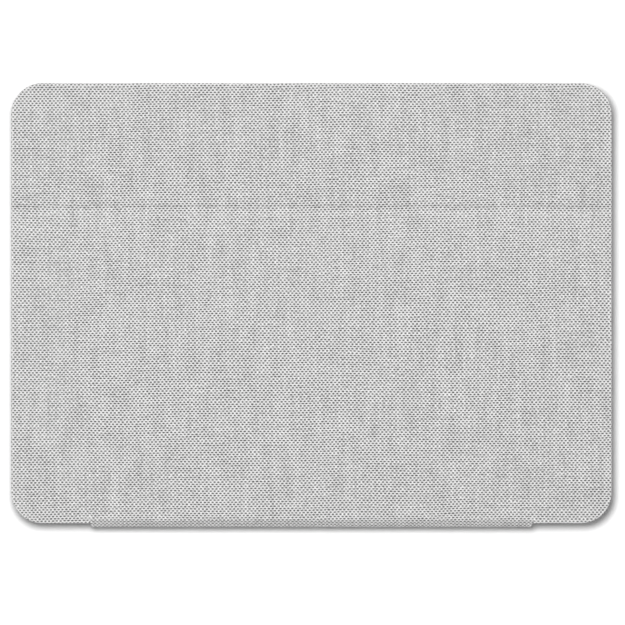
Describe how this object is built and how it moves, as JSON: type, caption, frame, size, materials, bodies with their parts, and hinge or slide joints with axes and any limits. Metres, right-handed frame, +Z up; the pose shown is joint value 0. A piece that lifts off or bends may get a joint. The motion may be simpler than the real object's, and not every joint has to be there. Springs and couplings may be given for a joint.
{
  "type": "tablet keyboard case",
  "caption": "Closed woven folio with a keyboard half, a soft spine, a back panel and a fold-back flap whose rim holds a tablet by its top edge.",
  "frame": {"origin": "on the table under the middle of the closed case", "axes": "+X along the keyboard, to the right of a user who sits at -Y; +Y towards the spine; +Z up from the keyboard's underside to the cover's outer face"},
  "size_m": [0.252, 0.1866, 0.015],
  "materials": {
    "outer_fabric": "light grey plain weave with small dark gaps",
    "stiff_board": "pressed fibre board",
    "soft_lining": "brushed microfibre",
    "deck_plastic": "fine moulded grain",
    "steel_plate": "brushed sheet",
    "membrane_film": "printed film",
    "link_plastic": "moulded",
    "dome_rubber": "silicone",
    "rest_plastic": "fine moulded grain",
    "magnet_nickel": "nickel plated",
    "battery_foil": "laminated foil pouch",
    "circuit_board": "solder mask",
    "flex_film": "polyimide film",
    "socket_metal": "drawn shell",
    "switch_plastic": "moulded",
    "light_lens": "clear moulded",
    "bumper_rubber": "soft moulded",
    "holder_plastic": "fine moulded grain",
    "key_plastic": "fine satin"
  },
  "bodies": {
    "keyboard": {"keyboard_outer_skin": "outer_fabric", "keyboard_base_board": "stiff_board", "deck_frame": "deck_plastic", "key_web": "deck_plastic", "key_support_plate": "steel_plate", "key_membrane": "membrane_film", "scissor_links": "link_plastic", "rubber_domes": "dome_rubber", "tablet_rest_strip": "rest_plastic", "rest_magnets": "magnet_nickel", "deck_latch_magnets": "magnet_nickel", "battery_cells": "battery_foil", "control_board": "circuit_board", "flex_cable": "flex_film", "charging_socket": "socket_metal", "power_switch_body": "switch_plastic", "status_light_lens": "light_lens", "deck_bumpers": "bumper_rubber"},
    "power_slider": {"power_switch_slider": "switch_plastic"},
    "spine": {"spine_skin": "outer_fabric", "spine_stiffener": "stiff_board", "spine_lining": "soft_lining"},
    "lower_cover": {"lower_cover_skin": "outer_fabric", "lower_cover_board": "stiff_board", "lower_cover_lining": "soft_lining", "lower_cover_magnets": "magnet_nickel"},
    "flap": {"flap_skin": "outer_fabric", "flap_board": "stiff_board", "flap_lining": "soft_lining", "tablet_holder": "holder_plastic", "flap_latch_magnets": "magnet_nickel", "holder_pads": "bumper_rubber"},
    "number_row": {"number_row_keys": "key_plastic"},
    "backspace": {"backspace_key": "key_plastic"},
    "tab": {"tab_key": "key_plastic"},
    "upper_letter_row": {"upper_letter_keys": "key_plastic"},
    "backslash": {"backslash_key": "key_plastic"},
    "caps_lock": {"caps_lock_key": "key_plastic"},
    "home_row": {"home_row_keys": "key_plastic"},
    "enter": {"enter_key": "key_plastic"},
    "left_shift": {"left_shift_key": "key_plastic"},
    "lower_letter_row": {"lower_letter_keys": "key_plastic"},
    "right_shift": {"right_shift_key": "key_plastic"},
    "function": {"function_key": "key_plastic"},
    "control": {"control_key": "key_plastic"},
    "left_alt": {"left_alt_key": "key_plastic"},
    "left_command": {"left_command_key": "key_plastic"},
    "space": {"space_bar": "key_plastic"},
    "right_command": {"right_command_key": "key_plastic"},
    "right_alt": {"right_alt_key": "key_plastic"},
    "left_arrow": {"left_arrow_key": "key_plastic"},
    "up_arrow": {"up_arrow_key": "key_plastic"},
    "down_arrow": {"down_arrow_key": "key_plastic"},
    "right_arrow": {"right_arrow_key": "key_plastic"}
  },
  "joints": [
    {"name": "spine_fold", "type": "hinge", "parent": "keyboard", "child": "spine", "pos_m": [0, 0.0914, 0.0019], "axis": [-1, 0, 0], "range_deg": [0, 90]},
    {"name": "cover_fold", "type": "hinge", "parent": "spine", "child": "lower_cover", "pos_m": [0, 0.0911, 0.0131], "axis": [-1, 0, 0], "range_deg": [0, 90]},
    {"name": "flap_crease", "type": "hinge", "parent": "lower_cover", "child": "flap", "pos_m": [0, -0.0416, 0.015], "axis": [1, 0, 0], "range_deg": [-150, 0]},
    {"name": "power_slide", "type": "slide", "parent": "keyboard", "child": "power_slider", "axis": [0, 1, 0], "range_m": [0, 0.0025]},
    {"name": "press_number_row", "type": "slide", "parent": "keyboard", "child": "number_row", "axis": [0, 0, 1], "range_m": [-0.0012, 0], "stiffness_N_per_m": 5850},
    {"name": "press_backspace", "type": "slide", "parent": "keyboard", "child": "backspace", "axis": [0, 0, 1], "range_m": [-0.0012, 0], "stiffness_N_per_m": 450},
    {"name": "press_tab", "type": "slide", "parent": "keyboard", "child": "tab", "axis": [0, 0, 1], "range_m": [-0.0012, 0], "stiffness_N_per_m": 450},
    {"name": "press_upper_letter_row", "type": "slide", "parent": "keyboard", "child": "upper_letter_row", "axis": [0, 0, 1], "range_m": [-0.0012, 0], "stiffness_N_per_m": 5400},
    {"name": "press_backslash", "type": "slide", "parent": "keyboard", "child": "backslash", "axis": [0, 0, 1], "range_m": [-0.0012, 0], "stiffness_N_per_m": 450},
    {"name": "press_caps_lock", "type": "slide", "parent": "keyboard", "child": "caps_lock", "axis": [0, 0, 1], "range_m": [-0.0012, 0], "stiffness_N_per_m": 450},
    {"name": "press_home_row", "type": "slide", "parent": "keyboard", "child": "home_row", "axis": [0, 0, 1], "range_m": [-0.0012, 0], "stiffness_N_per_m": 4950},
    {"name": "press_enter", "type": "slide", "parent": "keyboard", "child": "enter", "axis": [0, 0, 1], "range_m": [-0.0012, 0], "stiffness_N_per_m": 450},
    {"name": "press_left_shift", "type": "slide", "parent": "keyboard", "child": "left_shift", "axis": [0, 0, 1], "range_m": [-0.0012, 0], "stiffness_N_per_m": 450},
    {"name": "press_lower_letter_row", "type": "slide", "parent": "keyboard", "child": "lower_letter_row", "axis": [0, 0, 1], "range_m": [-0.0012, 0], "stiffness_N_per_m": 4500},
    {"name": "press_right_shift", "type": "slide", "parent": "keyboard", "child": "right_shift", "axis": [0, 0, 1], "range_m": [-0.0012, 0], "stiffness_N_per_m": 450},
    {"name": "press_function", "type": "slide", "parent": "keyboard", "child": "function", "axis": [0, 0, 1], "range_m": [-0.0012, 0], "stiffness_N_per_m": 450},
    {"name": "press_control", "type": "slide", "parent": "keyboard", "child": "control", "axis": [0, 0, 1], "range_m": [-0.0012, 0], "stiffness_N_per_m": 450},
    {"name": "press_left_alt", "type": "slide", "parent": "keyboard", "child": "left_alt", "axis": [0, 0, 1], "range_m": [-0.0012, 0], "stiffness_N_per_m": 450},
    {"name": "press_left_command", "type": "slide", "parent": "keyboard", "child": "left_command", "axis": [0, 0, 1], "range_m": [-0.0012, 0], "stiffness_N_per_m": 450},
    {"name": "press_space", "type": "slide", "parent": "keyboard", "child": "space", "axis": [0, 0, 1], "range_m": [-0.0012, 0], "stiffness_N_per_m": 450},
    {"name": "press_right_command", "type": "slide", "parent": "keyboard", "child": "right_command", "axis": [0, 0, 1], "range_m": [-0.0012, 0], "stiffness_N_per_m": 450},
    {"name": "press_right_alt", "type": "slide", "parent": "keyboard", "child": "right_alt", "axis": [0, 0, 1], "range_m": [-0.0012, 0], "stiffness_N_per_m": 450},
    {"name": "press_left_arrow", "type": "slide", "parent": "keyboard", "child": "left_arrow", "axis": [0, 0, 1], "range_m": [-0.0012, 0], "stiffness_N_per_m": 450},
    {"name": "press_up_arrow", "type": "slide", "parent": "keyboard", "child": "up_arrow", "axis": [0, 0, 1], "range_m": [-0.0012, 0], "stiffness_N_per_m": 450},
    {"name": "press_down_arrow", "type": "slide", "parent": "keyboard", "child": "down_arrow", "axis": [0, 0, 1], "range_m": [-0.0012, 0], "stiffness_N_per_m": 450},
    {"name": "press_right_arrow", "type": "slide", "parent": "keyboard", "child": "right_arrow", "axis": [0, 0, 1], "range_m": [-0.0012, 0], "stiffness_N_per_m": 450}
  ]
}
